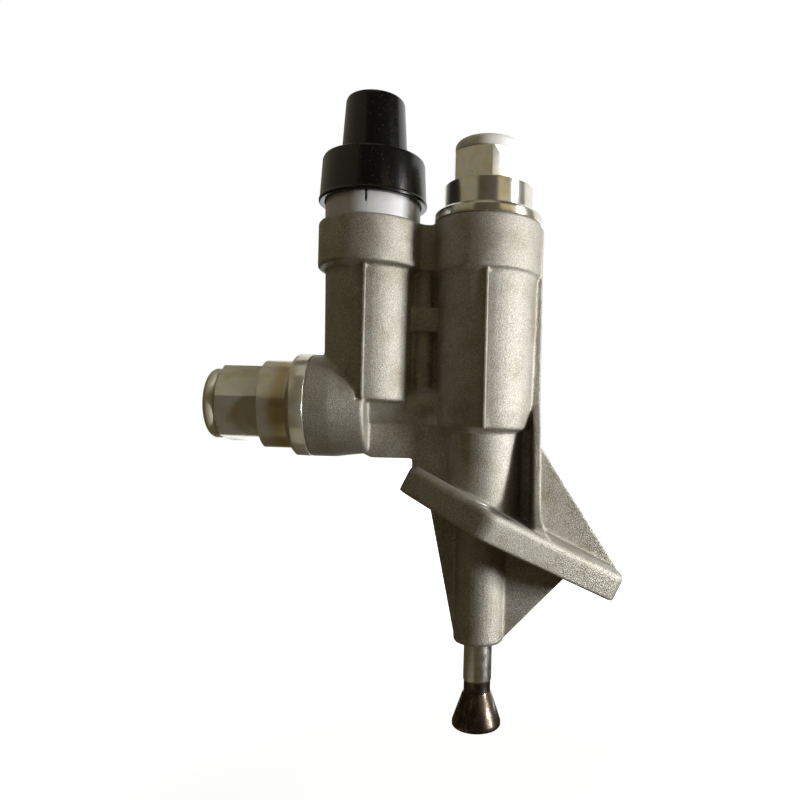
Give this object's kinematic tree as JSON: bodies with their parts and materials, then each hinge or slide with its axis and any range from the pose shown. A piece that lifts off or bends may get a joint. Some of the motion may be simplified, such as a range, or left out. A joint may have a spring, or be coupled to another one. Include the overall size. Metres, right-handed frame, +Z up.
{
  "type": "hand fuel transfer pump",
  "caption": "Piston fuel transfer pump with a push-button primer, a slanted two-bolt flange, a sprung push rod and capped inlet and outlet fittings.",
  "frame": {"origin": "where the pump barrel's axis crosses the flange's lower, machined face, midway between the two bolt holes", "axes": "+Z up the pump barrel's axis towards the outlet, -X towards the primer barrel and the inlet, Y along the line of the two bolt holes; the flange slopes down towards +X by 26 degrees"},
  "size_m": [0.1302, 0.053, 0.1993],
  "materials": {
    "cast_aluminium": "shot-blasted die casting, matt and grainy",
    "zinc_steel": "turned steel, zinc plated, with a faint yellow tint",
    "bright_steel": "ground and polished steel, heat-tinted at the foot",
    "valve_steel": "turned steel, plain",
    "spring_steel": "drawn wire, oiled",
    "piston_aluminium": "turned, satin",
    "bronze": "sintered bearing bronze, matt",
    "black_plastic": "moulded, satin gloss with small scuffs",
    "white_nylon": "milky white moulded nylon",
    "cap_plastic": "soft milky white polyethylene",
    "valve_polymer": "dark filled polymer, matt",
    "black_rubber": "nitrile rubber, matt"
  },
  "bodies": {
    "body": {"housing": "cast_aluminium", "gallery_plug": "zinc_steel", "rod_bush": "bronze", "rod_seal": "black_rubber", "outlet_seal": "black_rubber", "outlet_fitting": "zinc_steel", "outlet_valve_seat": "valve_steel", "outlet_valve_spring": "spring_steel", "inlet_seal": "black_rubber", "inlet_fitting": "zinc_steel", "inlet_valve_seat": "valve_steel", "inlet_valve_spring": "spring_steel", "inlet_valve_cage": "valve_steel", "guide_seal": "black_rubber", "primer_guide": "white_nylon", "primer_spring": "spring_steel", "rod_spring": "spring_steel", "pump_spring": "spring_steel"},
    "primer": {"primer_button": "black_plastic", "primer_stem": "bright_steel", "primer_piston": "piston_aluminium", "primer_ring": "black_rubber"},
    "rod": {"push_rod": "bright_steel", "rod_clip": "spring_steel", "spring_seat": "valve_steel"},
    "piston": {"pump_piston": "piston_aluminium", "piston_ring": "black_rubber", "transfer_cage": "valve_steel"},
    "transfer_valve": {"transfer_disc": "valve_polymer"},
    "outlet_valve": {"outlet_valve_disc": "valve_polymer"},
    "inlet_valve": {"inlet_valve_disc": "valve_polymer"},
    "outlet_plug": {"outlet_cap": "cap_plastic"},
    "inlet_plug": {"inlet_cap": "cap_plastic"}
  },
  "joints": [
    {"name": "primer_push", "type": "slide", "parent": "body", "child": "primer", "axis": [0, 0, -1], "range_m": [0, 0.0065], "stiffness_N_per_m": 1500, "springref_m": -0.005, "deforming": ["primer_spring"]},
    {"name": "rod_push", "type": "slide", "parent": "body", "child": "rod", "axis": [0, 0, 1], "range_m": [0, 0.007], "stiffness_N_per_m": 2500, "springref_m": -0.005, "deforming": ["rod_spring"]},
    {"name": "piston_slide", "type": "slide", "parent": "body", "child": "piston", "axis": [0, 0, 1], "range_m": [0, 0.007], "deforming": ["pump_spring"]},
    {"name": "transfer_lift", "type": "slide", "parent": "piston", "child": "transfer_valve", "axis": [0, 0, 1], "range_m": [0, 0.0012]},
    {"name": "outlet_lift", "type": "slide", "parent": "body", "child": "outlet_valve", "axis": [0, 0, 1], "range_m": [0, 0.0015], "stiffness_N_per_m": 150, "springref_m": -0.002, "deforming": ["outlet_valve_spring"]},
    {"name": "inlet_lift", "type": "slide", "parent": "body", "child": "inlet_valve", "axis": [1, 0, 0], "range_m": [0, 0.0015], "stiffness_N_per_m": 150, "springref_m": -0.002, "deforming": ["inlet_valve_spring"]},
    {"name": "outlet_cap_pull", "type": "slide", "parent": "body", "child": "outlet_plug", "axis": [0, 0, 1], "range_m": [0, 0.03]},
    {"name": "inlet_cap_pull", "type": "slide", "parent": "body", "child": "inlet_plug", "axis": [-1, 0, 0], "range_m": [0, 0.03]}
  ],
  "couplings": [
    {"joint": "piston_slide", "follows": "rod_push", "ratio": 1}
  ]
}
